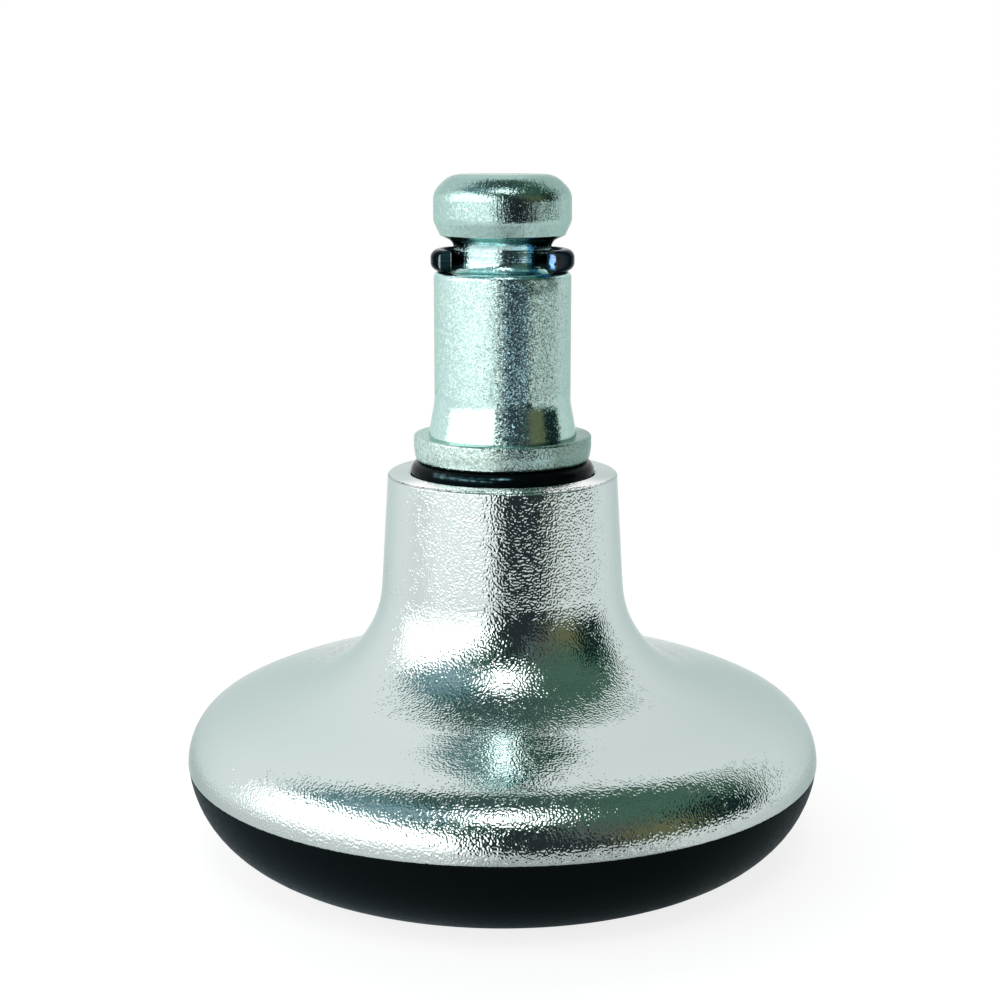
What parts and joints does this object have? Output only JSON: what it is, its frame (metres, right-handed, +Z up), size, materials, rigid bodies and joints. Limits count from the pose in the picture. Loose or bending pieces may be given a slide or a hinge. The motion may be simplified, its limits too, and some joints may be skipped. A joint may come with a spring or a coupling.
{
  "type": "office chair glide",
  "caption": "Round chair glide: chrome-plated bell on a rounded black foot, with a zinc-plated stem whose split grip ring holds it in a chair's socket.",
  "frame": {"origin": "centre of the foot's flat underside, on the floor", "axes": "+Z up along the stem, -Y towards the gap of the grip ring"},
  "size_m": [0.052, 0.052, 0.055],
  "materials": {
    "black_nylon": "satin moulded black",
    "grained_chrome": "bright plating over a fine moulded grain",
    "black_washer": "smooth glossy black",
    "zinc_plate": "satin zinc plate, faintly blue-green, lightly speckled",
    "blackened_spring": "oil-blackened spring steel"
  },
  "bodies": {
    "root": {"foot": "black_nylon", "bell_cover": "grained_chrome", "washer": "black_washer", "stem": "zinc_plate", "grip_ring": "blackened_spring"}
  },
  "joints": []
}
